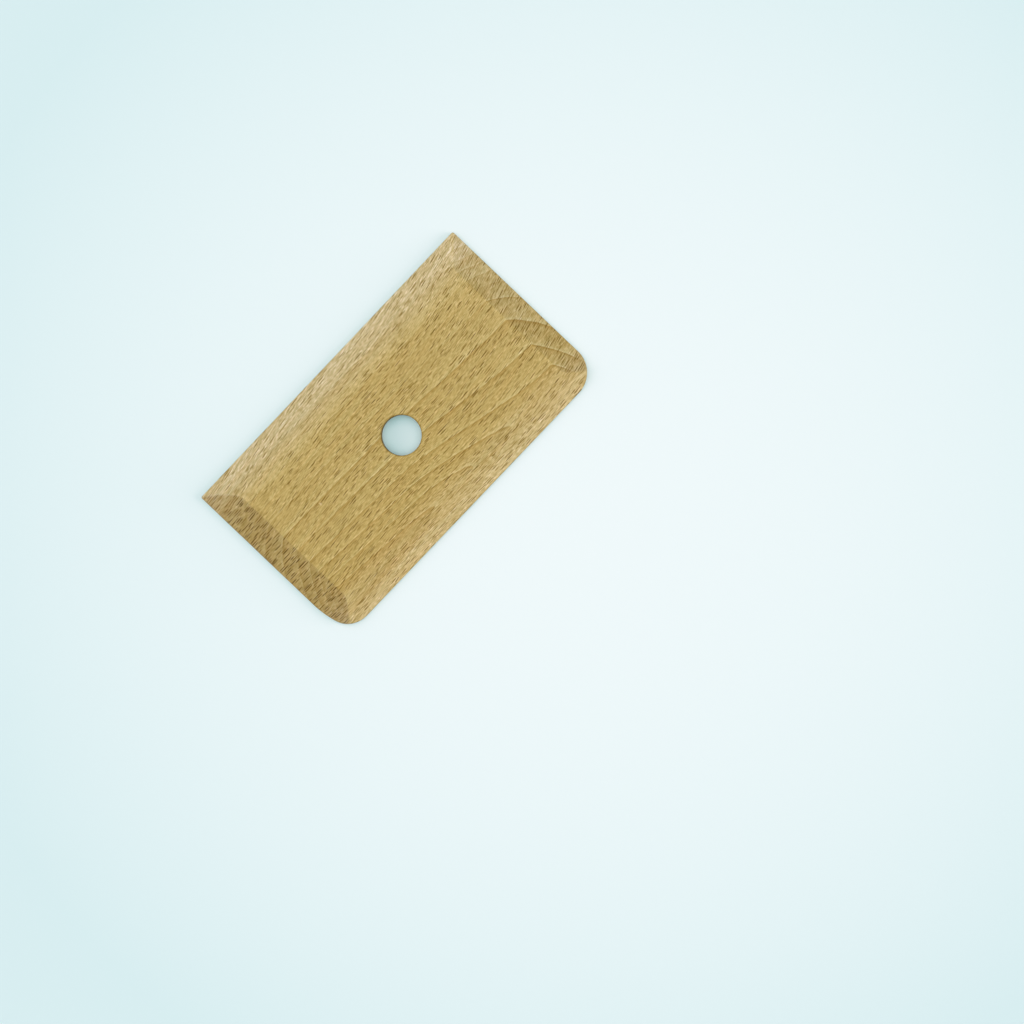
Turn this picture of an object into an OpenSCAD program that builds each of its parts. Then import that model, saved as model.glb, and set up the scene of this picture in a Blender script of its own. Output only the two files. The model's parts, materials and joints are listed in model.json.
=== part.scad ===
// Pottery rib: one flat blade of beech, bevelled on its upper face and drilled through.
// Millimetres. The blade lies on its flat back at Z = 0, with its middle over the origin.
// X runs along the grain, Y towards the long edge with the two square corners, Z up.

/* [Blade] */
// Length of the blade, along the grain
blade_length = 108.8; // [80:0.1:150]
// Width of the blade, across the grain
blade_width = 60; // [45:0.1:90]
// Thickness at the flat middle
blade_thickness = 5; // [3:0.1:9]

/* [Bevels] */
// Height of the upright edge that is left under the bevels
edge_height = 1.2; // [0.6:0.1:2.4]
// Width of the bevel along the long edge with the square corners
square_side_bevel = 8.6; // [4:0.1:12]
// Width of the bevel along the long edge with the round corners
round_side_bevel = 8.2; // [4:0.1:12]
// Width of the bevel at the left end
left_bevel = 8.9; // [4:0.1:12]
// Width of the bevel at the right end
right_bevel = 8.2; // [4:0.1:12]

/* [Round corners] */
// Radius of the right round corner
right_corner_r = 8.7; // [4:0.1:14]
// Radius of the tight part of the left round corner
left_corner_r = 7.7; // [4:0.1:14]
// Radius of the slow curve that leads from the left end into that corner
left_lead_r = 30; // [20:0.5:45]
// Angle that the slow curve turns through
left_lead_angle = 16; // [6:1:24]

/* [Hole] */
// Diameter of the hole, for a fingertip or a peg
hole_d = 12; // [6:0.5:18]
// Distance of the hole to the right of the blade's middle
hole_offset_x = 0.4; // [-5:0.1:5]
// Distance of the hole from the blade's middle towards the square corners
hole_offset_y = -0.7; // [-5:0.1:5]

/* [Hidden] */
$fn = 96;

// How far a cutting shape runs past what it cuts
overrun = 5;

// The two ends and the long edge with the round corners, seen from above
left_x = -blade_length / 2;
right_x = blade_length / 2;
round_side_y = -blade_width / 2;

// Centre of the right round corner, which touches the end and the long edge
right_corner_at = [right_x - right_corner_r, round_side_y + right_corner_r];

// Centres of the left round corner's two arcs, which touch where the slow curve ends
lead_shift = left_lead_r - left_corner_r;
left_corner_at = [
    left_x + left_lead_r - lead_shift * cos(left_lead_angle),
    round_side_y + left_corner_r
];
left_lead_at = [
    left_x + left_lead_r,
    left_corner_at.y + lead_shift * sin(left_lead_angle)
];

// The rectangle at a round corner, from the corner of the block inside the blade out past
// the end at end_x and past the long edge
module corner_block(inner, end_x) {
    outer_x = end_x + sign(end_x) * overrun;
    outer_y = round_side_y - overrun;
    translate([min(inner.x, outer_x), outer_y])
        square([abs(outer_x - inner.x), inner.y - outer_y]);
}

// The part of the slow curve's disc that lies within its own angle
module lead_sector() {
    reach = left_lead_r + overrun;
    intersection() {
        translate(left_lead_at)
            circle(r = left_lead_r);
        translate(left_lead_at)
            polygon([
                [0, 0],
                [-reach, 0],
                [-reach, -reach * tan(left_lead_angle)]
            ]);
    }
}

module right_corner_waste() {
    difference() {
        corner_block(right_corner_at, right_x);
        translate(right_corner_at)
            circle(r = right_corner_r);
    }
}

module left_corner_waste() {
    difference() {
        corner_block([left_corner_at.x, left_lead_at.y], left_x);
        translate(left_corner_at)
            circle(r = left_corner_r);
        lead_sector();
    }
}

// Two square corners on one long side, two round ones on the other
module outline() {
    difference() {
        square([blade_length, blade_width], center = true);
        right_corner_waste();
        left_corner_waste();
    }
}

// Cross-section of a prism bevelled along both sides. Its slopes run on down past the
// back face, so that it trims the blade's upper face and leaves the outline alone.
module bevelled_section(span, low_bevel, high_bevel) {
    rise = blade_thickness - edge_height;
    drop = edge_height + overrun;
    polygon([
        [-span / 2 - drop * low_bevel / rise, -overrun],
        [-span / 2 + low_bevel, blade_thickness],
        [span / 2 - high_bevel, blade_thickness],
        [span / 2 + drop * high_bevel / rise, -overrun]
    ]);
}

// Prism along X that slopes the two long sides
module long_side_bevels() {
    rotate([90, 0, 90])
        linear_extrude(blade_length + 2 * overrun, center = true)
            bevelled_section(blade_width, round_side_bevel, square_side_bevel);
}

// Prism along Y that slopes the two ends
module end_bevels() {
    rotate([90, 0, 0])
        linear_extrude(blade_width + 2 * overrun, center = true)
            bevelled_section(blade_length, left_bevel, right_bevel);
}

module hole() {
    translate([hole_offset_x, hole_offset_y, -overrun])
        cylinder(d = hole_d, h = blade_thickness + 2 * overrun);
}

// The whole rib. Where two bevels meet they mitre, and the round corners cut straight
// down through them.
module blade() {
    color([0.74, 0.60, 0.36])
        difference() {
            intersection() {
                linear_extrude(blade_thickness)
                    outline();
                long_side_bevels();
                end_bevels();
            }
            hole();
        }
}

blade();
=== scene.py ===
from collections import namedtuple
import json
import math

import bmesh
import bpy
import numpy as np
from mathutils import Matrix, Vector


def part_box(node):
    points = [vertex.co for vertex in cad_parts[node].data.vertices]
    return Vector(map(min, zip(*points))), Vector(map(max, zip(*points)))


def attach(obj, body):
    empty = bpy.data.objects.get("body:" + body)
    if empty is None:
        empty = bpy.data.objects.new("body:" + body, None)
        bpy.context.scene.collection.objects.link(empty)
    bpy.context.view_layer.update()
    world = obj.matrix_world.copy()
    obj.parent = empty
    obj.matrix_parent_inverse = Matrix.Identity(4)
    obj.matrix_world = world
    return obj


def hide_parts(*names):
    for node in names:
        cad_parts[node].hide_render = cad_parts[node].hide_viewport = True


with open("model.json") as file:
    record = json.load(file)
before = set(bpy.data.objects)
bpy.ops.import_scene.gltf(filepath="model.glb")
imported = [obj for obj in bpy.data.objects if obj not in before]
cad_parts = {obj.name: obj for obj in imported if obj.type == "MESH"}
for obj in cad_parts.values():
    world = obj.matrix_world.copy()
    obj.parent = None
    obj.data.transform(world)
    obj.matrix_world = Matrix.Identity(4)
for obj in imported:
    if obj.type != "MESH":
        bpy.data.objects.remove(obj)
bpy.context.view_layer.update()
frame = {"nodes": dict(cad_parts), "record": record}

# Lengths are in millimetres up to the last step of each shape, which turns them into metres.
MM = 0.001

# The blade's sides and the hole, as the frame has them
low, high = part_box("blade")
LEFT_X, ROUND_SIDE_Y = low.x / MM, low.y / MM
RIGHT_X, SQUARE_SIDE_Y, THICKNESS = high.x / MM, high.y / MM, high.z / MM
hole = next(mount for mount in frame["record"]["mounts"] if mount["name"] == "finger_hole")
HOLE_X, HOLE_Y = hole["pos_m"][0] / MM, hole["pos_m"][1] / MM
HOLE_R = hole["dims"]["r_mm"]

# The bevels, as the frame's solid has them: how far the flat's sides lie inside the blade's,
# and the height of the upright edge that is left under them
TOUCH = 0.01
solid = np.array([vertex.co for vertex in frame["nodes"]["blade"].data.vertices]) / MM
flat = solid[solid[:, 2] > THICKNESS - TOUCH]
LEFT_BEVEL, ROUND_SIDE_BEVEL = flat[:, :2].min(axis=0) - (LEFT_X, ROUND_SIDE_Y)
RIGHT_BEVEL, SQUARE_SIDE_BEVEL = (RIGHT_X, SQUARE_SIDE_Y) - flat[:, :2].max(axis=0)
EDGE_HEIGHT = solid[solid[:, 1] > SQUARE_SIDE_Y - TOUCH, 2].max()
BEVEL_RISE = THICKNESS - EDGE_HEIGHT

# The round corners: the right one is one arc, and the left one a slow curve and a tight arc
RIGHT_CORNER_R = 8.7
LEFT_CORNER_R = 7.7
LEFT_LEAD_R = 30
LEFT_LEAD_ANGLE = 16
# The corners that look square are broken by a touch of sandpaper, a little more than the edges
SQUARE_CORNER_R = 0.5

# How much the long bevels are crowned: by this share the slope is less at the arris and more
# at the edge
LONG_CROWN = 0.25
END_CROWN = 0.0
# Wear: how far to each side of an arris or a mitre the sanding has rounded it
LONG_ARRIS_WEAR = 1.3
LEFT_ARRIS_WEAR = 0.25
RIGHT_ARRIS_WEAR = 0.5
MITRE_WEAR = 0.6
# Share of a mitre's wear that is left where it starts, at the corner of the flat
LEAST_MITRE_WEAR = 0.001
# Radii of the worn edges
TOP_EDGE_R = 0.25
BACK_EDGE_R = 0.4
HOLE_EDGE_R = 0.15
# A nick in the flat, left of the hole: its place, its half length and half width, and its depth
NICK_X, NICK_Y = -30.8, 2.6
NICK_LENGTH, NICK_WIDTH = 0.4, 0.5
NICK_DEPTH = 0.12
# Reach of the finer mesh round it, and how often its edges are halved
NICK_PATCH = 2.2
NICK_HALVINGS = 3

# Points to an arc of the outline, and step of a search along the outline
ARC_POINTS = 40
SEARCH_STEP = 0.01
# Mesh: columns run from the hole to the outline, and rings run round the hole
COLUMN_PITCH = 0.55
CORNER_CROWDING = 0.8
FLAT_RINGS = 36
BEVEL_RINGS = 24
EDGE_RINGS = 4
LAND_RINGS = 4
BACK_RINGS = 14
BORE_RINGS = 8


def arc(centre_x, centre_y, radius, start, end):
    """Points along an arc about a centre, between two angles in degrees."""
    angles = np.radians(np.linspace(start, end, ARC_POINTS))
    return np.column_stack([centre_x + radius * np.cos(angles), centre_y + radius * np.sin(angles)])


def outline_path():
    """The outline seen from above, anticlockwise from the top right corner, as a fine polyline."""
    turn = math.radians(LEFT_LEAD_ANGLE)
    shift = LEFT_LEAD_R - LEFT_CORNER_R
    left_corner_x = LEFT_X + LEFT_LEAD_R - shift * math.cos(turn)
    left_corner_y = ROUND_SIDE_Y + LEFT_CORNER_R
    lead_y = left_corner_y + shift * math.sin(turn)
    r = SQUARE_CORNER_R
    return np.concatenate([
        arc(RIGHT_X - r, SQUARE_SIDE_Y - r, r, 0, 90),
        arc(LEFT_X + r, SQUARE_SIDE_Y - r, r, 90, 180),
        arc(LEFT_X + LEFT_LEAD_R, lead_y, LEFT_LEAD_R, 180, 180 + LEFT_LEAD_ANGLE),
        arc(left_corner_x, left_corner_y, LEFT_CORNER_R, 180 + LEFT_LEAD_ANGLE, 270)[1:],
        arc(RIGHT_X - RIGHT_CORNER_R, ROUND_SIDE_Y + RIGHT_CORNER_R, RIGHT_CORNER_R, 270, 360),
    ])


class Outline:
    """The outline as points by distance along it."""

    def __init__(self):
        self.path = outline_path()
        closed = np.vstack([self.path, self.path[:1]])
        steps = np.linalg.norm(np.diff(closed, axis=0), axis=1)
        self.reach = np.concatenate([[0], np.cumsum(steps)])
        self.closed = closed
        self.length = self.reach[-1]

    def at(self, distance):
        """The points at some distances along the outline."""
        distance = np.mod(distance, self.length)
        x = np.interp(distance, self.reach, self.closed[:, 0])
        y = np.interp(distance, self.reach, self.closed[:, 1])
        return np.column_stack([x, y])

    def where_mitre_leaves(self, arris_corner, outer_corner):
        """Distance along the outline of the point where the line through both corners leaves it."""
        distances = np.arange(0, self.length, SEARCH_STEP)
        offset = self.at(distances) - arris_corner
        along = outer_corner - arris_corner
        across = np.abs(offset[:, 0] * along[1] - offset[:, 1] * along[0])
        across[offset @ along < 0] = np.inf
        return distances[np.argmin(across)]


def crowded(count, crowding=1.0):
    """Fractions from 0 to 1 in count steps, closer together at both ends."""
    even = np.linspace(0, 1, count + 1)
    return even - crowding * np.sin(2 * math.pi * even) / (2 * math.pi)


def make_columns():
    """Each column's point on the arris and on the outline, anticlockwise from the top right."""
    outline = Outline()
    arris_x = (RIGHT_X - RIGHT_BEVEL, LEFT_X + LEFT_BEVEL)
    arris_y = (SQUARE_SIDE_Y - SQUARE_SIDE_BEVEL, ROUND_SIDE_Y + ROUND_SIDE_BEVEL)
    corners = [
        (np.array([arris_x[0], arris_y[0]]), np.array([RIGHT_X, SQUARE_SIDE_Y])),
        (np.array([arris_x[1], arris_y[0]]), np.array([LEFT_X, SQUARE_SIDE_Y])),
        (np.array([arris_x[1], arris_y[1]]), np.array([LEFT_X, ROUND_SIDE_Y])),
        (np.array([arris_x[0], arris_y[1]]), np.array([RIGHT_X, ROUND_SIDE_Y])),
    ]
    leaves = [outline.where_mitre_leaves(inner, outer) for inner, outer in corners]
    arris, rim = [], []
    for side in range(4):
        start, end = leaves[side], leaves[(side + 1) % 4]
        length = (end - start) % outline.length
        share = crowded(round(length / COLUMN_PITCH), CORNER_CROWDING)[:-1]
        here, following = corners[side][0], corners[(side + 1) % 4][0]
        arris.append(here + share[:, None] * (following - here))
        rim.append(outline.at(start + share * length))
    return np.concatenate(arris), np.concatenate(rim)


def outward(loop):
    """Offset, for each point of an anticlockwise loop, that moves its two edges out by 1."""
    edge = np.roll(loop, -1, axis=0) - loop
    edge /= np.linalg.norm(edge, axis=1)[:, None]
    after = np.column_stack([edge[:, 1], -edge[:, 0]])
    before = np.roll(after, 1, axis=0)
    return (before + after) / (1 + np.sum(before * after, axis=1))[:, None]


def soft_ramp(value, reach):
    """0 below -reach, the value itself above reach, and a smooth bend between them."""
    bend = (value + reach) ** 2 / (4 * reach)
    return np.where(value < -reach, 0, np.where(value > reach, value, bend))


def bevel_drop(distance, width, wear, crown):
    """How far a bevel lowers the surface at a distance from the blade's side."""
    share = soft_ramp(width - distance, wear) / width
    return BEVEL_RISE * share * (1 - crown + crown * share)


def surface_height(place):
    """Height of the upper face at each place."""
    x, y = place[:, 0], place[:, 1]
    long_drop = bevel_drop(SQUARE_SIDE_Y - y, SQUARE_SIDE_BEVEL, LONG_ARRIS_WEAR, LONG_CROWN)
    long_drop += bevel_drop(y - ROUND_SIDE_Y, ROUND_SIDE_BEVEL, LONG_ARRIS_WEAR, LONG_CROWN)
    end_drop = bevel_drop(x - LEFT_X, LEFT_BEVEL, LEFT_ARRIS_WEAR, END_CROWN)
    end_drop += bevel_drop(RIGHT_X - x, RIGHT_BEVEL, RIGHT_ARRIS_WEAR, END_CROWN)
    wear = MITRE_WEAR * np.clip((long_drop + end_drop) / BEVEL_RISE, LEAST_MITRE_WEAR, 1)
    return THICKNESS - end_drop - soft_ramp(long_drop - end_drop, wear)


def between(inner, outer, share):
    """The value at a share of the way from inner to outer."""
    return inner + share * (outer - inner)


def make_rings():
    """Rings of points over the upper face, down the edge, over the back and up the bore."""
    arris, rim = make_columns()
    out = outward(rim)
    centre = np.array([HOLE_X, HOLE_Y])
    from_hole = arris - centre
    from_hole /= np.linalg.norm(from_hole, axis=1)[:, None]
    hole_rim = centre + HOLE_R * from_hole
    hole_brow = centre + (HOLE_R + HOLE_EDGE_R) * from_hole
    top_brow = rim - TOP_EDGE_R * out
    back_brow = rim - BACK_EDGE_R * out
    rings = []

    def add(place, height):
        rings.append(np.column_stack([place, np.broadcast_to(height, len(place))]))

    for share in crowded(FLAT_RINGS):
        place = between(hole_brow, arris, share)
        add(place, surface_height(place))
    for share in crowded(BEVEL_RINGS)[1:]:
        place = between(arris, top_brow, share)
        add(place, surface_height(place))
    for angle in np.linspace(0, math.pi / 2, EDGE_RINGS + 1)[1:]:
        place = top_brow + TOP_EDGE_R * math.sin(angle) * out
        add(place, surface_height(place) - TOP_EDGE_R * (1 - math.cos(angle)))
    land_top = surface_height(rim) - TOP_EDGE_R
    for share in crowded(LAND_RINGS)[1:]:
        add(rim, between(land_top, BACK_EDGE_R, share))
    for angle in np.linspace(0, math.pi / 2, EDGE_RINGS + 1)[1:]:
        place = back_brow + BACK_EDGE_R * math.cos(angle) * out
        add(place, BACK_EDGE_R * (1 - math.sin(angle)))
    for share in crowded(BACK_RINGS)[1:]:
        add(between(back_brow, hole_brow, share), 0.0)
    for angle in np.linspace(0, math.pi / 2, EDGE_RINGS + 1)[1:]:
        place = hole_brow - HOLE_EDGE_R * math.sin(angle) * from_hole
        add(place, HOLE_EDGE_R * (1 - math.cos(angle)))
    for share in crowded(BORE_RINGS)[1:]:
        add(hole_rim, between(HOLE_EDGE_R, THICKNESS - HOLE_EDGE_R, share))
    for angle in np.linspace(0, math.pi / 2, EDGE_RINGS + 1)[1:-1]:
        place = hole_rim + HOLE_EDGE_R * (1 - math.cos(angle)) * from_hole
        add(place, THICKNESS - HOLE_EDGE_R * (1 - math.sin(angle)))
    return np.array(rings)


def carve_nick(mesh):
    """Presses the nick into a patch of finer mesh."""
    shape = bmesh.new()
    shape.from_mesh(mesh)
    middle = Vector((NICK_X, NICK_Y, THICKNESS)) * MM
    for _ in range(NICK_HALVINGS):
        near = [
            edge for edge in shape.edges
            if all((corner.co - middle).length < NICK_PATCH * MM for corner in edge.verts)
        ]
        bmesh.ops.subdivide_edges(shape, edges=near, cuts=1, use_grid_fill=True)
    for corner in shape.verts:
        along, across, above = (corner.co - middle) / MM
        if abs(above) < TOUCH:
            share = math.exp(-(along / NICK_LENGTH) ** 2 - (across / NICK_WIDTH) ** 2)
            corner.co.z -= NICK_DEPTH * share * MM
    shape.to_mesh(mesh)
    shape.free()


def make_blade():
    """The blade as one closed mesh."""
    rings = make_rings()
    ring_count, column_count = rings.shape[:2]
    ring, column = np.meshgrid(np.arange(ring_count), np.arange(column_count), indexing="ij")
    next_ring = (ring + 1) % ring_count
    next_column = (column + 1) % column_count
    corners = [(ring, column), (next_ring, column), (next_ring, next_column), (ring, next_column)]
    faces = np.stack([r * column_count + c for r, c in corners], axis=-1).reshape(-1, 4)
    mesh = bpy.data.meshes.new("beech_blade")
    mesh.from_pydata((rings.reshape(-1, 3) * MM).tolist(), [], faces.tolist())
    carve_nick(mesh)
    mesh.shade_smooth()
    mesh.validate()
    blade = bpy.data.objects.new("beech_blade", mesh)
    bpy.context.scene.collection.objects.link(blade)
    return blade


class Field:
    """A number that varies over a surface, written with ordinary arithmetic."""

    def __init__(self, tree, socket):
        self.tree = tree
        self.socket = socket

    def node(self, operation, *inputs):
        node = self.tree.nodes.new("ShaderNodeMath")
        node.operation = operation
        for socket, value in zip(node.inputs, inputs):
            feed(self.tree, value, socket)
        return Field(self.tree, node.outputs[0])

    def __add__(self, other):
        return self.node("ADD", self, other)

    def __sub__(self, other):
        return self.node("SUBTRACT", self, other)

    def __rsub__(self, other):
        return self.node("SUBTRACT", other, self)

    def __mul__(self, other):
        return self.node("MULTIPLY", self, other)

    def __truediv__(self, other):
        return self.node("DIVIDE", self, other)

    def __pow__(self, other):
        return self.node("POWER", self, other)

    def __abs__(self):
        return self.node("ABSOLUTE", self)

    __radd__ = __add__
    __rmul__ = __mul__

    def at_least(self, other):
        return self.node("MAXIMUM", self, other)

    def at_most(self, other):
        return self.node("MINIMUM", self, other)

    def above(self, other):
        """1 where it is greater, 0 elsewhere."""
        return self.node("GREATER_THAN", self, other)

    def floor(self):
        return self.node("FLOOR", self)

    def fraction(self):
        return self.node("FRACT", self)

    def sine(self):
        return self.node("SINE", self)

    def exp(self):
        return self.node("EXPONENT", self)

    def smooth(self, start, end):
        """0 at start, 1 at end, with a smooth rise between them."""
        node = self.tree.nodes.new("ShaderNodeMapRange")
        node.interpolation_type = "SMOOTHSTEP"
        feed(self.tree, self, node.inputs["Value"])
        feed(self.tree, start, node.inputs["From Min"])
        feed(self.tree, end, node.inputs["From Max"])
        return Field(self.tree, node.outputs["Result"])

    def hump(self, middle, half_width):
        """1 at middle, 0 beyond half_width to each side."""
        return abs(self - middle).smooth(half_width, 0)


def feed(tree, value, socket):
    """Gives a socket a Field, or a plain number."""
    if isinstance(value, Field):
        tree.links.new(value.socket, socket)
    else:
        socket.default_value = value


def vector(tree, x, y, z=0.0):
    node = tree.nodes.new("ShaderNodeCombineXYZ")
    for value, socket in zip((x, y, z), node.inputs):
        feed(tree, value, socket)
    return node.outputs[0]


def split(tree, socket):
    """The three parts of a vector or a colour, as Fields."""
    node = tree.nodes.new("ShaderNodeSeparateXYZ")
    tree.links.new(socket, node.inputs[0])
    return [Field(tree, output) for output in node.outputs]


def noise(tree, place, detail=2.0):
    """Smooth noise from -1 to 1, whose bumps are about 1 across."""
    node = tree.nodes.new("ShaderNodeTexNoise")
    node.inputs["Scale"].default_value = 1.0
    node.inputs["Detail"].default_value = detail
    tree.links.new(place, node.inputs["Vector"])
    return (Field(tree, node.outputs["Fac"]) - 0.5) * 2.0


# Places of a Mix node's sockets when it mixes colours
MIX_SHARE, MIX_FIRST, MIX_SECOND, MIX_RESULT = 0, 6, 7, 2


def mix_colour(tree, share, first, second):
    """The first colour where share is 0, and the second where it is 1."""
    node = tree.nodes.new("ShaderNodeMix")
    node.data_type = "RGBA"
    feed(tree, share, node.inputs[MIX_SHARE])
    node.inputs[MIX_FIRST].default_value = (*first, 1.0)
    node.inputs[MIX_SECOND].default_value = (*second, 1.0)
    return node.outputs[MIX_RESULT]


# Growth rings. A ring surface is steep in the blade: it leans over by this much per millimetre
# of depth, less towards the side with the square corners.
RING_LEAN = 1.92
RING_LEAN_CHANGE = 0.096
LEAST_RING_LEAN = 0.8
# Width of a ring across the blade, and the slow change of that width
RING_PITCH = 4.4
PITCH_SWING = 0.363
PITCH_SWING_LENGTH = 38
PITCH_SWING_START = 16
FIRST_RING_SHIFT = 0.17
# The rings close round a point near the lower edge, so that their nested ends show: slowly from
# one place on, and faster between two others
CLOSING_FROM = -46
CLOSING_SLOPE = 0.0039
CLOSING_START = -9.5
CLOSING_END = 45
CLOSING_RISE = 0.5055
# Where they close, the far side of a ring shifts, and its near side shifts and is drawn in
FAR_SIDE_SHIFT = 1.15
NEAR_SIDE_SHIFT = 7.56
NEAR_SIDE_DRAW = 0.908
RING_WANDER = 0.25

# Tone of one ring: an even shade from early to late wood, and a pale and a dark line, each with
# the shares of the ring between which it comes or goes
RING_SHADE = 0.13
PALE_LINE = 0.105
PALE_LINE_COMES = (0.0, 0.02)
PALE_LINE_GOES = (0.16, 0.03)
DARK_LINE = 0.15
DARK_LINE_COMES = (0.86, 0.98)
# Strength of the rings, how much it varies, and over what lengths across and along them
RING_STRENGTH = 0.8
RING_STRENGTH_SWING = 0.6
RING_STRENGTH_ACROSS = 5
RING_STRENGTH_ALONG = 30
# The rings fade across the blade and beside the round corners, and stand out on the right bevel
ACROSS_FADE = 0.65
ACROSS_FADE_SPAN = (5, 12)
ROUND_SIDE_FADE = 0.75
ROUND_SIDE_FADE_SPAN = (-21, -24)
RIGHT_BEVEL_BOOST = 0.5
# Broad tones across the rings: where, half width, and how much lighter or darker
BROAD_TONES = [
    (-19, 4, -0.06),
    (20, 3.5, 0.05),
    (23.4, 1.2, -0.03),
    (26.8, 2.5, 0.02),
]

# The grain's slow wander along the blade: its mean slope, and the swing of one long wave
GRAIN_SLOPE = 0.07
GRAIN_SWING = 0.764
GRAIN_WAVE = 80
# The grain fans out a little towards the left end
GRAIN_FAN = 0.0018
# Rays lean across the blade by this much per millimetre of depth, and waver by this much
RAY_LEAN = 0.3
RAY_WAVER = 0.15
# Fibres tilt out of the blade's plane a little, so the left end bevel cuts them more squarely
FIBRE_TILT = math.radians(-6)

# Noise in the wood: the size of its bumps along the grain, across it and through the depth, and
# how many finer layers it has
Bumps = namedtuple("Bumps", "along across deep layers")
WAVER = Bumps(14, 4, 10, 1)
WANDER = Bumps(14, 5, 5, 2)
CROWD = Bumps(9, 2.5, 2.5, 2)
FIBRE = Bumps(9, 0.3, 2.2, 2)
STREAK = Bumps(14, 0.5, 2.5, 2)
HAIR = Bumps(1.3, 0.21, 1.4, 1)
PATCH = Bumps(22, 7, 7, 2)
BAND = Bumps(16, 0.9, 2, 2)
HUE = Bumps(40, 1.8, 1.8, 3)

# The dashes of the rays lie in rows along the grain, and each row is cut into cells: the width of
# a row, the length of a cell, the least and greatest length and width of a dash, and a seed
Dashes = namedtuple("Dashes", "row cell length width seed")
BOLD = Dashes(0.62, 4.8, (2.0, 4.4), (0.23, 0.35), 10)
FINE = Dashes(0.42, 4.0, (1.6, 3.6), (0.17, 0.25), 20)
# The most that two dashes differ in slope, and the strength of the faintest
DASH_TILT = 0.03
FAINTEST_DASH = 0.45
# A dash softens over this share of its half width, and its pale rim comes over this span outside
DASH_SOFTNESS = 0.5
RIM_SPAN = (-2.4, -0.3)

# How a surface has to face for an effect to start, and for it to show in full: along the grain for
# a cut through the fibres, and up or down for an upright face and for the upper side
END_CUT_SPAN = (0.12, 0.34)
BEVEL_CUT_SPAN = (0.12, 0.3)
UPRIGHT_SPAN = (0.7, 0.2)
UPPER_SPAN = (-0.5, 0)
# Reach of the nick's colour, as a share of its size, and of the painted shade on the rim past the
# hole's edge
NICK_SPAN = (1.2, 0.3)
HOLE_RIM_START = 0.6
HOLE_RIM_FULL = 0.1

# Lightness that each thing adds, where 1 would make the wood e times as light
BASE_TONE = 0.07
FIBRE_TONE = 0.36
STREAK_TONE = 0.1
HAIR_TONE = 0.65
BAND_TONE = 0.06
PATCH_TONE = 0.05
RING_TONE = 1.25
BOLD_TONE = -1.3
BOLD_RIM_TONE = 0.1
FINE_TONE = -0.85
FINE_RIM_TONE = 0.07
NICK_TONE = 0.12
HOLE_RIM_SHADE_TONE = -0.3
# Painted shade: the upright faces, the edge land and the bore, are darkened
UPRIGHT_SHADE_TONE = -0.75
LEFT_BEVEL_TONE = 0.05
RIGHT_BEVEL_TONE = -0.02
# Painted light and shade on the long bevels: the one with the square corners lighter, the one with
# the round corners darker
SQUARE_SIDE_LIGHT_TONE = 0.035
ROUND_SIDE_SHADE_TONE = -0.115
# How much stronger or weaker the fibres are on the left bevel, and the dashes on each face
LEFT_BEVEL_GROUND = -0.1
LEFT_BEVEL_MARKS = 0.65
RIGHT_BEVEL_MARKS = -0.15
SQUARE_SIDE_MARKS = -0.3
UPRIGHT_MARKS = -0.8
# Where the long bevels start to take their tone, which is painted light and shade, and where they
# have it in full
SQUARE_TONE_SPAN = (20, 25)
SQUARE_MARKS_SPAN = (19, 23)
ROUND_TONE_SPAN = (-20, -24)
# Warmth of the rings and of the dashes, of the left bevel, and of the side with the round corners
RING_WARMTH = -4
LEFT_BEVEL_DASH_WARMTH = 1.5
LEFT_BEVEL_WARMTH = 0.5
ROUND_SIDE_WARMTH = 0.15
ROUND_WARMTH_SPAN = (5, -28)

# Share of the cells that hold a dash: in general, in crowds, on the end bevels and on the bevel
# with the round corners
KEEP_BOLD = 0.42
KEEP_CROWD = 0.06
KEEP_BOLD_LEFT = 0.33
KEEP_BOLD_RIGHT = 0.1
KEEP_BOLD_ROUND = 0.15
KEEP_FINE = 0.5
KEEP_FINE_LEFT = -0.2
# How much wider the bold dashes are on the left bevel
LEFT_BEVEL_SWELL = 0.2

# Height of the fibres, the dashes and the rings, in millimetres
FIBRE_RELIEF = 0.003
STREAK_RELIEF = 0.003
HAIR_RELIEF = 0.002
BOLD_RELIEF = -0.007
FINE_RELIEF = -0.003
RING_RELIEF = 0.01
# Roughness of the wood, and what the dashes, the fibres and the cut fibres add to it
ROUGHNESS = 0.56
BOLD_ROUGHNESS = 0.1
FIBRE_ROUGHNESS = 0.04
END_CUT_ROUGHNESS = 0.08

FLAT_COLOUR = (0.469, 0.333, 0.097)
# Pale colour where sanding and the painted sheen pale the wood
SANDED_SHEEN_COLOUR = (0.600, 0.466, 0.222)
# Spans that end before the blade starts, so that what grows over them is full all over the blade
ALL_ALONG = (LEFT_X - 2, LEFT_X - 1)
ALL_ACROSS = (ROUND_SIDE_Y - 2, ROUND_SIDE_Y - 1)
# Where the wood is paled, partly by sanding and partly by a painted sheen on the long bevels: how far
# at most, and the places along and across the blade between which it grows
SANDED_AND_SHEEN = [
    (0.05, ALL_ALONG, (-12, 20)),
    (0.06, (10, 50), ALL_ACROSS),
    (0.22, (45, 50), (-15, 10)),
    (0.9, ALL_ALONG, (-17, -30)),
]
# The bevel with the square corners is paled in full, partly by sanding and partly by a painted sheen,
# less so where the left bevel cuts it off
SANDED_SHEEN_SQUARE_SPAN = (16, 30)
SANDED_SHEEN_LEFT_LOSS = 0.5
SANDED_IN_NICK = 0.6
# What is left of each channel where a surface cuts the fibres squarely
END_GRAIN_TINT = (0.84, 0.85, 0.90)
# How strongly each channel follows a change of lightness
CHANNEL_RESPONSE = (0.88, 1.03, 1.8)
# How each channel follows a change of warmth
WARMTH = (0.03, -0.05, -0.14)
SPECULAR_LEVEL = 0.22


def distance_from_hole(x, y):
    """Distance from the hole's axis, in millimetres."""
    return ((x - HOLE_X) ** 2 + (y - HOLE_Y) ** 2) ** 0.5


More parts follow.
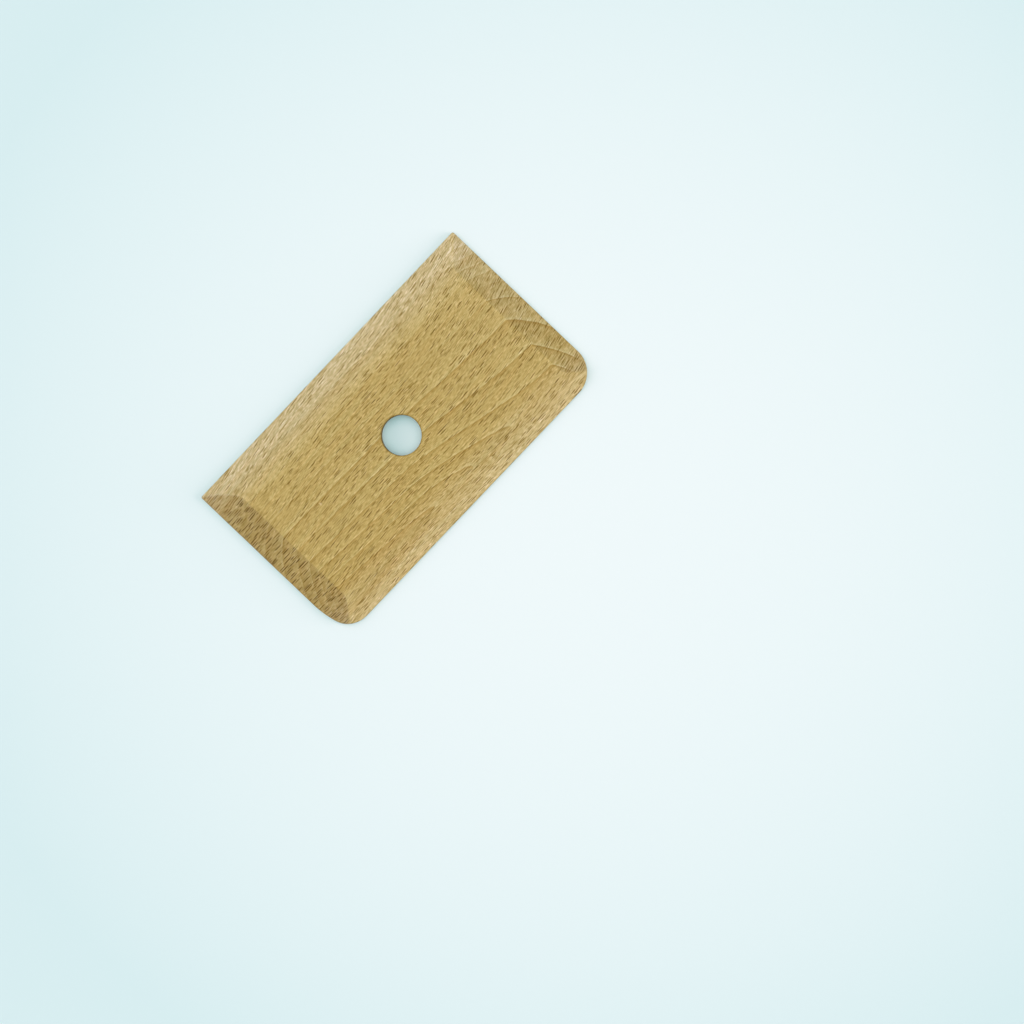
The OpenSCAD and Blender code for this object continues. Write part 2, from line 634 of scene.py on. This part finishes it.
class Beech:
    """The beech as a solid: every field is worked out from the place inside the wood."""

    def __init__(self, tree):
        self.tree = tree
        coordinates = tree.nodes.new("ShaderNodeTexCoord")
        x, y, z = split(tree, coordinates.outputs["Object"])
        self.x, self.y = x / MM, y / MM
        self.depth = THICKNESS - z / MM
        wave = (self.x * (2 * math.pi / GRAIN_WAVE)).sine()
        self.grain_y = self.y * (1 - GRAIN_FAN * self.x) - GRAIN_SLOPE * self.x + GRAIN_SWING * wave
        waver = self.bumps(WAVER, self.grain_y)
        self.ray_y = self.grain_y - RAY_LEAN * self.depth + RAY_WAVER * waver

        facing_x, _, facing_z = split(tree, coordinates.outputs["Normal"])
        along_fibres = facing_x * math.cos(FIBRE_TILT) + facing_z * math.sin(FIBRE_TILT)
        self.end_cut = abs(along_fibres).smooth(*END_CUT_SPAN)
        self.left_cut = (facing_x * -1).smooth(*BEVEL_CUT_SPAN)
        self.right_cut = facing_x.smooth(*BEVEL_CUT_SPAN)
        self.upright = abs(facing_z).smooth(*UPRIGHT_SPAN)
        self.upper = facing_z.smooth(*UPPER_SPAN)

        nick_x = (self.x - NICK_X) / NICK_LENGTH
        nick_y = (self.y - NICK_Y) / NICK_WIDTH
        self.nick = (nick_x ** 2 + nick_y ** 2).smooth(*NICK_SPAN)
        from_hole = distance_from_hole(self.x, self.y)
        # Painted shade on the flat round the hole's rim
        self.hole_rim = from_hole.smooth(HOLE_R + HOLE_RIM_START, HOLE_R + HOLE_RIM_FULL)

    def bumps(self, kind, across):
        """Noise from -1 to 1, whose bumps follow the lines of the grain or of the rays."""
        place = vector(self.tree, self.x / kind.along, across / kind.across, self.depth / kind.deep)
        return noise(self.tree, place, kind.layers)

    def ring_distance(self):
        """Distance across the rings."""
        lean = (RING_LEAN - RING_LEAN_CHANGE * self.y).at_least(LEAST_RING_LEAN)
        across = self.y + lean * self.depth
        closing = CLOSING_SLOPE * (self.x - CLOSING_FROM)
        closing = closing + CLOSING_RISE * self.x.smooth(CLOSING_START, CLOSING_END)
        far_side = across + FAR_SIDE_SHIFT * closing
        near_side = (across + NEAR_SIDE_SHIFT * closing) / (1 + NEAR_SIDE_DRAW * closing)
        return far_side.at_least(near_side) + RING_WANDER * self.bumps(WANDER, self.grain_y)

    def ring_strength(self, distance):
        """How strongly the rings show at a distance across them."""
        place = vector(self.tree, distance / RING_STRENGTH_ACROSS, self.x / RING_STRENGTH_ALONG)
        strength = RING_STRENGTH + RING_STRENGTH_SWING * noise(self.tree, place)
        strength = strength * (1 - ACROSS_FADE * distance.smooth(*ACROSS_FADE_SPAN))
        strength = strength * (1 - ROUND_SIDE_FADE * self.y.smooth(*ROUND_SIDE_FADE_SPAN))
        return strength * (1 + RIGHT_BEVEL_BOOST * self.right_cut)

    def ring_tone(self):
        """Lightness of the rings, as a share to add: pale early wood and a dark late line."""
        distance = self.ring_distance()
        swing = ((distance + PITCH_SWING_START) * (2 * math.pi / PITCH_SWING_LENGTH)).sine()
        phase = distance / RING_PITCH + PITCH_SWING * swing + FIRST_RING_SHIFT
        share = phase.fraction()
        shade = RING_SHADE * (0.5 - share)
        pale_line = PALE_LINE * share.smooth(*PALE_LINE_GOES) * share.smooth(*PALE_LINE_COMES)
        dark_line = DARK_LINE * share.smooth(*DARK_LINE_COMES)
        tone = (shade + pale_line - dark_line) * self.ring_strength(distance)
        for middle, half_width, change in BROAD_TONES:
            tone = tone + change * distance.hump(middle, half_width)
        return tone

    def draws(self, row, column, seed):
        """Three random numbers from 0 to 1 for each cell."""
        node = self.tree.nodes.new("ShaderNodeTexWhiteNoise")
        node.noise_dimensions = "3D"
        self.tree.links.new(vector(self.tree, row, column, seed), node.inputs["Vector"])
        return split(self.tree, node.outputs["Color"])

    def dashes(self, kind, keep, swell=1.0):
        """Thin dashes along the grain, one to a cell in a share of the cells, each row shifted
        along the grain. Gives the strength of the dashes, and of a thin pale rim round each,
        from 0 to 1."""
        row_place = self.ray_y / kind.row
        row = row_place.floor()
        cell_place = self.x / kind.cell + self.draws(row, 0.0, kind.seed)[0]
        column = cell_place.floor()
        size, lift, slide = self.draws(row, column, kind.seed + 1)
        chance, breadth, tilt = self.draws(row, column, kind.seed + 2)

        least_length, greatest_length = kind.length
        least_width, greatest_width = [width * swell for width in kind.width]
        half_length = least_length / 2 + (greatest_length - least_length) / 2 * size
        half_width = least_width / 2 + (greatest_width - least_width) / 2 * breadth
        free = kind.cell - 2 * half_length
        along = (cell_place - column - 0.5) * kind.cell - (slide - 0.5) * free
        rise = (lift - 0.5) * (kind.row - greatest_width)
        across = (row_place - row - 0.5) * kind.row - rise - DASH_TILT * (tilt - 0.5) * along
        shape = 1 - (along / half_length) ** 4 - abs(across) / half_width
        strength = FAINTEST_DASH + (1 - FAINTEST_DASH) * chance.smooth(1 - keep, 1)
        strength = strength * chance.above(1 - keep)
        core = shape.smooth(0.0, DASH_SOFTNESS)
        rim = shape.smooth(*RIM_SPAN) - core
        return core * strength, rim * strength

    def bold_dashes(self):
        """The bold dashes and their rims, more of them and wider on the left bevel."""
        keep = KEEP_BOLD + KEEP_CROWD * self.bumps(CROWD, self.ray_y)
        keep = keep + KEEP_BOLD_LEFT * self.left_cut + KEEP_BOLD_RIGHT * self.right_cut
        keep = keep + KEEP_BOLD_ROUND * self.y.smooth(*ROUND_TONE_SPAN)
        return self.dashes(BOLD, keep, swell=1 + LEFT_BEVEL_SWELL * self.left_cut)

    def fine_dashes(self):
        """The fine dashes and their rims."""
        return self.dashes(FINE, KEEP_FINE + KEEP_FINE_LEFT * self.left_cut)

    def sanding_and_sheen(self):
        """How far the wood is paled on its upper side, from 0 to 1: partly sanding, partly a painted
        sheen.
        """
        share = SANDED_IN_NICK * self.nick
        for most, x_span, y_span in SANDED_AND_SHEEN:
            share = share + most * self.x.smooth(*x_span) * self.y.smooth(*y_span)
        square_side_sheen = self.y.smooth(*SANDED_SHEEN_SQUARE_SPAN) * (1 - SANDED_SHEEN_LEFT_LOSS * self.left_cut)
        return (share + square_side_sheen) * self.upper


def beech_material():
    """Bare beech, with sanding and a painted sheen. Lightness and warmth add up first, and then act
    on each channel.
    """
    material = bpy.data.materials.new("beech")
    material.use_nodes = True
    tree = material.node_tree
    shader = tree.nodes["Principled BSDF"]
    wood = Beech(tree)

    rings = wood.ring_tone()
    fibre = wood.bumps(FIBRE, wood.ray_y)
    streak = wood.bumps(STREAK, wood.ray_y)
    hair = wood.bumps(HAIR, wood.ray_y)
    band = wood.bumps(BAND, wood.grain_y)
    patch = wood.bumps(PATCH, wood.grain_y)
    bold, bold_rim = wood.bold_dashes()
    fine, fine_rim = wood.fine_dashes()

    ground = FIBRE_TONE * fibre + STREAK_TONE * streak + BAND_TONE * band + HAIR_TONE * hair
    ground = ground * (1 + LEFT_BEVEL_GROUND * wood.left_cut)
    marks = BOLD_TONE * bold + FINE_TONE * fine
    marks = marks + BOLD_RIM_TONE * bold_rim + FINE_RIM_TONE * fine_rim
    marks = marks * (1 + LEFT_BEVEL_MARKS * wood.left_cut + RIGHT_BEVEL_MARKS * wood.right_cut)
    marks = marks * (1 + UPRIGHT_MARKS * wood.upright)
    marks = marks * (1 + SQUARE_SIDE_MARKS * wood.y.smooth(*SQUARE_MARKS_SPAN))
    tone = (ground + marks) * (1 - wood.nick) + NICK_TONE * wood.nick
    tone = tone + BASE_TONE + RING_TONE * rings + PATCH_TONE * patch
    # Painted shade on the upright faces and round the hole's rim
    tone = tone + UPRIGHT_SHADE_TONE * wood.upright + HOLE_RIM_SHADE_TONE * wood.hole_rim
    tone = tone + LEFT_BEVEL_TONE * wood.left_cut + RIGHT_BEVEL_TONE * wood.right_cut
    # Painted light on the bevel with the square corners, and painted shade on the one with the round
    # corners
    tone = tone + SQUARE_SIDE_LIGHT_TONE * wood.y.smooth(*SQUARE_TONE_SPAN)
    tone = tone + ROUND_SIDE_SHADE_TONE * wood.y.smooth(*ROUND_TONE_SPAN)

    warmth = wood.bumps(HUE, wood.grain_y) + RING_WARMTH * rings
    warmth = warmth + ROUND_SIDE_WARMTH * wood.y.smooth(*ROUND_WARMTH_SPAN)
    warmth = warmth + bold * (1 + LEFT_BEVEL_DASH_WARMTH * wood.left_cut)
    warmth = warmth + LEFT_BEVEL_WARMTH * wood.left_cut

    # Painted sheen: the pale colour on upward faces, mostly on the long bevels, is partly sanding and
    # partly a painted sheen
    plain = split(tree, mix_colour(tree, wood.sanding_and_sheen(), FLAT_COLOUR, SANDED_SHEEN_COLOUR))
    channels = [
        channel * (1 - (1 - tint) * wood.end_cut) * (tone * response + warmth * hue).exp()
        for channel, tint, response, hue in zip(plain, END_GRAIN_TINT, CHANNEL_RESPONSE, WARMTH)
    ]
    tree.links.new(vector(tree, *channels), shader.inputs["Base Color"])
    shader.inputs["Specular IOR Level"].default_value = SPECULAR_LEVEL
    roughness = ROUGHNESS + BOLD_ROUGHNESS * bold + FIBRE_ROUGHNESS * fibre
    feed(tree, roughness + END_CUT_ROUGHNESS * wood.end_cut, shader.inputs["Roughness"])

    relief = FIBRE_RELIEF * fibre + STREAK_RELIEF * streak + HAIR_RELIEF * hair
    relief = relief + BOLD_RELIEF * bold + FINE_RELIEF * fine + RING_RELIEF * rings
    bump = tree.nodes.new("ShaderNodeBump")
    bump.inputs["Strength"].default_value = 1.0
    bump.inputs["Distance"].default_value = MM
    feed(tree, relief, bump.inputs["Height"])
    tree.links.new(bump.outputs["Normal"], shader.inputs["Normal"])
    return material


# The backdrop, measured over the floor, with a painted pool of light: palest at a point to the right,
# and darker and bluer away from it
FLOOR_LIGHT_POOL_AT = (25.6, -50.9)
FLOOR_PALE = (0.867, 0.949, 0.961)
FLOOR_FAR = (0.689, 0.855, 0.876)
FLOOR_FAR_AT = 200
FLOOR_GLOW = (0.0, 0.30, 0.30)
# Painted shade: close to the hole's wall the glow is weaker, so the floor looks darker there: by how
# much, how far outside the wall most, and how far to each side of that
WALL_SHADE = 0.5
WALL_SHADE_SHIFT = 0.5
WALL_SHADE_REACH = 2.7
# Half the floor's side, and how far it lies below the blade
FLOOR_HALF = 3000
FLOOR_GAP = 0.02


def floor_material():
    """Matt and pale. The camera sees a share of each colour as a steady glow, so shade looks cool."""
    material = bpy.data.materials.new("pale_floor")
    material.use_nodes = True
    tree = material.node_tree
    shader = tree.nodes["Principled BSDF"]
    coordinates = tree.nodes.new("ShaderNodeTexCoord")
    x, y, _ = split(tree, coordinates.outputs["Object"])
    # Painted pool of light: the floor is palest round one point
    east = x / MM - FLOOR_LIGHT_POOL_AT[0]
    north = y / MM - FLOOR_LIGHT_POOL_AT[1]
    share = ((east * east + north * north) / FLOOR_FAR_AT ** 2).at_most(1.0)
    colour = split(tree, mix_colour(tree, share, FLOOR_PALE, FLOOR_FAR))
    seen = Field(tree, tree.nodes.new("ShaderNodeLightPath").outputs["Is Camera Ray"])
    # Painted shade on the floor close to the hole's wall
    wall_shade_share = distance_from_hole(x / MM, y / MM).hump(HOLE_R + WALL_SHADE_SHIFT, WALL_SHADE_REACH)
    seen = seen * (1 - WALL_SHADE * wall_shade_share)
    glow = [channel * part * seen for channel, part in zip(colour, FLOOR_GLOW)]
    matt = [channel - part for channel, part in zip(colour, glow)]
    tree.links.new(vector(tree, *matt), shader.inputs["Base Color"])
    tree.links.new(vector(tree, *glow), shader.inputs["Emission Color"])
    shader.inputs["Emission Strength"].default_value = 1.0
    shader.inputs["Roughness"].default_value = 1.0
    shader.inputs["Specular IOR Level"].default_value = 0.0
    return material


def make_floor():
    half, below = FLOOR_HALF * MM, -FLOOR_GAP * MM
    mesh = bpy.data.meshes.new("floor")
    corners = [(-half, -half, below), (half, -half, below), (half, half, below), (-half, half, below)]
    mesh.from_pydata(corners, [], [(0, 1, 2, 3)])
    mesh.materials.append(floor_material())
    floor = bpy.data.objects.new("floor", mesh)
    bpy.context.scene.collection.objects.link(floor)


# Light, as shares of the light that falls on the floor, which add up to 1
SKY_SHARE = 0.28
WINDOW_SHARE = 0.17
BACK_SHARE = 0.20
TOP_SHARE = 0.35


def make_sky():
    """Even light from all round, which the camera sees in the floor's far colour."""
    world = bpy.data.worlds.new("sky")
    bpy.context.scene.world = world
    world.use_nodes = True
    tree = world.node_tree
    light = tree.nodes["Background"]
    light.inputs["Color"].default_value = (1, 1, 1, 1)
    light.inputs["Strength"].default_value = SKY_SHARE
    seen = tree.nodes.new("ShaderNodeBackground")
    seen.inputs["Color"].default_value = (*FLOOR_FAR, 1)
    path = tree.nodes.new("ShaderNodeLightPath")
    choice = tree.nodes.new("ShaderNodeMixShader")
    tree.links.new(path.outputs["Is Camera Ray"], choice.inputs[0])
    tree.links.new(light.outputs[0], choice.inputs[1])
    tree.links.new(seen.outputs[0], choice.inputs[2])
    tree.links.new(choice.outputs[0], tree.nodes["World Output"].inputs["Surface"])


def make_lamp(name, towards, elevation, spread, share):
    """A wide soft lamp, far away. Angles are in degrees, and towards is measured from +X."""
    lamp = bpy.data.lights.new(name, "SUN")
    lamp.angle = math.radians(spread)
    lamp.energy = math.pi * share / math.sin(math.radians(elevation))
    made = bpy.data.objects.new(name, lamp)
    azimuth, height = math.radians(towards), math.radians(elevation)
    to_lamp = Vector((
        math.cos(azimuth) * math.cos(height),
        math.sin(azimuth) * math.cos(height),
        math.sin(height),
    ))
    made.rotation_mode = "QUATERNION"
    made.rotation_quaternion = to_lamp.to_track_quat("Z", "Y")
    made.location = to_lamp
    bpy.context.scene.collection.objects.link(made)


# The camera looks down almost squarely, with the blade's grain running up to the right
CAMERA_AT = (25.9, -39.6, 634.1)
CAMERA_AIM = (6.4, -40.0, 0)
CAMERA_TURN = 46.37
CAMERA_LENS = 75
NEAREST_SEEN = 10


def make_camera():
    camera = bpy.data.cameras.new("camera")
    camera.lens = CAMERA_LENS
    camera.clip_start = NEAREST_SEEN * MM
    camera.clip_end = 4 * FLOOR_HALF * MM
    made = bpy.data.objects.new("camera", camera)
    bpy.context.scene.collection.objects.link(made)
    back = (Vector(CAMERA_AT) - Vector(CAMERA_AIM)).normalized()
    turn = math.radians(CAMERA_TURN)
    right = Vector((math.sin(turn), math.cos(turn), 0)).cross(back).normalized()
    axes = Matrix((right, back.cross(right), back)).transposed()
    made.matrix_world = Matrix.Translation(Vector(CAMERA_AT) * MM) @ axes.to_4x4()
    bpy.context.scene.camera = made


bpy.context.scene.view_settings.view_transform = "Standard"
make_camera()
make_floor()
make_sky()
make_lamp("window", towards=-50, elevation=18, spread=30, share=WINDOW_SHARE)
make_lamp("back", towards=125, elevation=42, spread=60, share=BACK_SHARE)
make_lamp("top", towards=0, elevation=85, spread=56, share=TOP_SHARE)

blade = make_blade()
blade.data.materials.append(beech_material())
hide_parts("blade")
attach(blade, "root")
